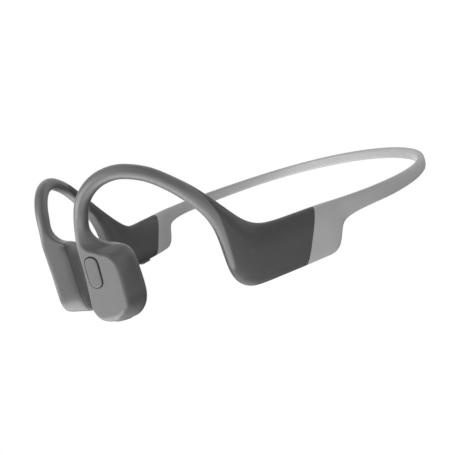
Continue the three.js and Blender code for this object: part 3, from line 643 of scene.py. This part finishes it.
# profiles of recesses and caps: inset, height
BUTTON_RECESS = [(0, 1.2), (0, 5.18), (-0.03, 5.25), (-0.09, 5.31), (-0.2, 5.42), (-0.2, 7.0)]
BUTTON_CAP = [(0.12, 3.6), (0, 3.72), (0, 5.48), (0.02, 5.58), (0.07, 5.66), (0.15, 5.71),
              (0.28, 5.74), (0.8, 5.76), (1.3, 5.77), (1.9, 5.775), (2.3, 5.777)]
KEY_RECESS = [(0, -3.9), (0, -0.2), (-0.05, -0.08), (-0.14, 0), (-0.4, 0.2), (-0.4, 2)]
KEY_CAP = [(0.1, -2.1), (-0.1, -2.0), (-0.1, -1.4), (0, -1.3), (0, 0.7), (0.04, 0.86),
           (0.13, 1.0), (0.27, 1.1), (0.5, 1.165), (0.85, 1.19), (1.2, 1.2)]
UNDER_HOLE = [(0, -3), (0, -0.15), (-0.12, 0.02), (-0.3, 0.3), (-0.3, 1)]
OUTER_HOLE = [(0, 1), (0, 3.75), (-0.2, 4.1), (-0.4, 4.4), (-0.4, 6)]
INNER_OPENING = [(-0.4, -8), (-0.4, -4.6), (-0.12, -3.95), (0, -3.8), (0, -1.2)]


def add_button(skin, side):
    """The multifunction button on the outer face of the pod."""
    matrix = pod_matrix(side)
    x, y = -4.55, 2.75
    turn = math.radians(-5)
    cut_pill(skin, matrix, x, y, 5.38, 11.78, BUTTON_RECESS, turn=turn)
    cap = pill("button_cap", matrix, x, y, 4.8, 11.2, BUTTON_CAP, turn=turn)
    smooth(cap, 40)
    dress(cap, "button_key")
    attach(cap, "multifunction_button")
    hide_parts("multifunction_button")


def add_volume_keys(skin, side):
    """Two keys on the underside of the box, 0.25 mm clear of their recesses all round."""
    for x, label in ((-5.0, "volume_up"), (4.2, "volume_down")):
        matrix = under_matrix(side, x)
        cut_pill(skin, matrix, 0, 0, 6.9, 3.1, KEY_RECESS)
        cap = pill(label + "_cap", matrix, 0, 0, 6.4, 2.6, KEY_CAP)
        smooth(cap, 40)
        dress(cap, "volume_key")
        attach(cap, label)
        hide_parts(label + "_key")


def cut_box_openings(skin, side):
    """Round holes under the box and in its outer face, a stadium opening in its inner face."""
    box = box_matrix(side)
    cut_round(skin, under_matrix(side, -0.4), 0, 0, 1.1, UNDER_HOLE)
    cut_round(skin, box, -9.5, -10.5, 0.9, OUTER_HOLE)
    cut_pill(skin, box, -7.6, -11.2, 6.5, 3.1, INNER_OPENING)


def blend_to_arm(obj):
    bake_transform(obj)


def band_skin(name, side):
    """Light moulding: tail of the box and half of the neckband."""
    back = rings(TABLE[SEAM_RING:], side)
    back[-1, :, 0] = 0.0
    lip = seam_lip(back[0], back[1])
    band = lofted(name + "_band_skin", np.concatenate([np.array(lip[::-1]), back[1:]]))
    smooth(band, 40)
    dress(band, "light_silicone")
    blend_to_arm(band)
    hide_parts(name + "_neckband_sleeve", "neckband_sleeve_centre")


def band_wire(name, side):
    """The titanium wire inside the band, rising out of the tail of the box."""
    along = np.linspace(along_at_y(-3), BACK, 120)
    y = plan_at(along)[1]
    in_band = along > BAND_START
    mid = np.where(in_band, band_section(along)[0], WIRE_Z)
    in_tail = np.interp(y, [-3, 5, 10, 18, 27], [-6.3, -5.2, -4.0, -3.5, WIRE_Z])
    z = gauss(np.where(in_band, mid, in_tail), 3)
    angle = 2 * np.pi * np.arange(16) / 16
    points = place(along[:, None] + 0 * angle, WIRE_RADIUS * np.sin(angle),
                   z[:, None] - WIRE_RADIUS * np.cos(angle), side)
    points[-1, :, 0] = 0.0
    wire = lofted(name + "_band_wire", points)
    smooth(wire, 40)
    dress(wire, "titanium_wire")
    blend_to_arm(wire)
    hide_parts(name + "_neckband_wire", "neckband_wire_centre")


for name, side in (("left", 1), ("right", -1)):
    skin, pad = front_skin(name, side)
    if name == "left":
        add_button(skin, side)
    else:
        add_volume_keys(skin, side)
        cut_box_openings(skin, side)
    for obj, finish in ((skin, "dark_silicone"), (pad, "contact_pad")):
        smooth(obj, 30)
        dress(obj, finish)
        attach(obj, name + "_arm")
    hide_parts(name + "_pod_housing", name + "_hook_sleeve", name + "_box_shell")
    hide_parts(name + "_pod_contact_cover")
    band_skin(name, side)
    band_wire(name, side)

# ---------------------------------------------------------------- carried-over CAD pieces
# finish: endings of the names of the pieces that wear it
CAD_FINISHES = {
    "titanium_wire": "hook_wire",
    "cable": "hook_cable",
    "plain_steel": ("spring_plate", "yoke", "top_plate", "tact_switch", "up_switch",
                    "down_switch", "radio_module"),
    "copper_coil": "voice_coil",
    "magnet": "magnet",
    "rubber_dome": "actuator",
    "board": ("switch_board", "protection_board", "main_board", "key_board"),
    "cell": "battery_cell",
    "foam": "battery_foam",
    "port": "charging_port",
    "contact_gold": ("charging_pin_a", "charging_pin_b", "microphone"),
    "lens": "light_pipe",
}
for node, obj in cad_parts.items():
    if obj.hide_render:
        continue
    dress(obj, next((finish for finish, endings in CAD_FINISHES.items()
                     if node.endswith(endings)), "dark_silicone"))
    obj.data.polygons.foreach_set("use_smooth", [True] * len(obj.data.polygons))
    bevel = obj.modifiers.new("edge", "BEVEL")
    bevel.width, bevel.segments = 0.00008, 2
    bevel.limit_method, bevel.angle_limit = "ANGLE", math.radians(35)
    bevel.harden_normals = False
    bevel.use_clamp_overlap = True

# ---------------------------------------------------------------- studio
# Large overlapping soft panels light the scene. To the camera, floor and world are an even
# white; to every other ray they carry the panels' light, the floor from below.
# Bearing (0 the front, 90 the left side), height in degrees, strength
PANELS = [
    (0, -62, 3.825), (0, 55, 1.523), (180, 18, 1.25), (240, 55, 1.290), (270, 18, 1.125),
    (45, -22, 1.087), (0, -22, 1.2), (90, -22, 0.86), (0, 18, 0.992), (300, -62, 0.917),
    (60, 55, 0.911), (315, -22, 0.848), (135, 18, 1.3), (225, 18, 0.193),
]
PANEL_FOCUS = 6.0
RIM = (237, -6, 1.3, 20.0)  # a narrower panel behind, with its own focus, for the edges
SHOWN = 1.0  # strength the camera sees
SKY_SHARE = 0.8  # share of the panels' light given by the world


def panels(tree, direction):
    """Strength of the light arriving from a direction."""
    total = 0.0
    for bearing, height, strength, focus in [(*p, PANEL_FOCUS) for p in PANELS] + [RIM]:
        a, e = math.radians(bearing), math.radians(height)
        toward = (math.sin(a) * math.cos(e), -math.cos(a) * math.cos(e), math.sin(e))
        dot = add_node(tree, "VectorMath", {0: direction, 1: toward}, operation="DOT_PRODUCT")
        facing = maths(tree, "MAXIMUM", dot.outputs["Value"], 0.0)
        lobe = maths(tree, "POWER", facing, focus)
        total = maths(tree, "ADD", maths(tree, "MULTIPLY", lobe, strength), total)
    return total


def seen_or_lit(tree, light):
    """SHOWN for camera rays and light for every other ray."""
    path = add_node(tree, "LightPath")
    camera_ray = path.outputs["Is Camera Ray"]
    return add_node(tree, "Mix", {0: camera_ray, 2: light, 3: SHOWN}).outputs[0]


def add_floor():
    bm = bmesh.new()
    bmesh.ops.create_circle(bm, cap_ends=True, segments=96, radius=6.0)
    floor = finish_mesh("floor", bm)
    glow = bpy.data.materials.new("floor")
    glow.use_nodes = True
    tree = glow.node_tree
    tree.nodes.clear()
    output = add_node(tree, "OutputMaterial")
    emission = add_node(tree, "Emission")
    geometry = add_node(tree, "NewGeometry")
    ray = add_node(tree, "VectorMath", {0: geometry.outputs["Incoming"], "Scale": -1},
                   operation="SCALE")
    fill(tree, emission, {"Strength": seen_or_lit(tree, panels(tree, ray.outputs[0]))})
    fill(tree, output, {"Surface": emission.outputs[0]})
    floor.data.materials.append(glow)


def add_world():
    world = bpy.data.worlds.new("studio")
    scene.world = world
    world.use_nodes = True
    tree = world.node_tree
    tree.nodes.clear()
    output = add_node(tree, "OutputWorld")
    sky = add_node(tree, "Background", {"Color": (1, 1, 1, 1)})
    direction = add_node(tree, "TexCoord").outputs["Generated"]
    light = maths(tree, "MULTIPLY", panels(tree, direction), SKY_SHARE)
    fill(tree, sky, {"Strength": seen_or_lit(tree, light)})
    fill(tree, output, {"Surface": sky.outputs[0]})


def add_key_light():
    """A wide soft box in front, aimed at the pods."""
    data = bpy.data.lights.new("key", "AREA")
    data.shape, data.size, data.size_y = "RECTANGLE", 0.95, 0.38
    data.energy = 4.15
    key = bpy.data.objects.new("key", data)
    scene.collection.objects.link(key)
    key.location = (-0.20, -0.84, 0.20)
    aim = Vector((0, -0.05, 0.02)) - Vector((-0.20, -0.84, 0.20))
    key.rotation_mode = "QUATERNION"
    key.rotation_quaternion = aim.to_track_quat("-Z", "Y")


def add_camera():
    data = bpy.data.cameras.new("camera")
    camera = bpy.data.objects.new("camera", data)
    scene.collection.objects.link(camera)
    data.sensor_width, data.lens = 36, 51.33
    data.clip_start, data.clip_end = 0.01, 100
    camera.matrix_world = Matrix((
        (0.56901098, 0.00900249, 0.82228064, 0.233480),
        (0.76724206, 0.35401683, -0.53480062, -0.161512),
        (-0.29591573, 0.93519572, 0.19453237, 0.067141),
        (0, 0, 0, 1)))
    scene.camera = camera


scene = bpy.context.scene
scene.view_settings.view_transform = "Standard"
add_floor()
add_world()
add_key_light()
add_camera()
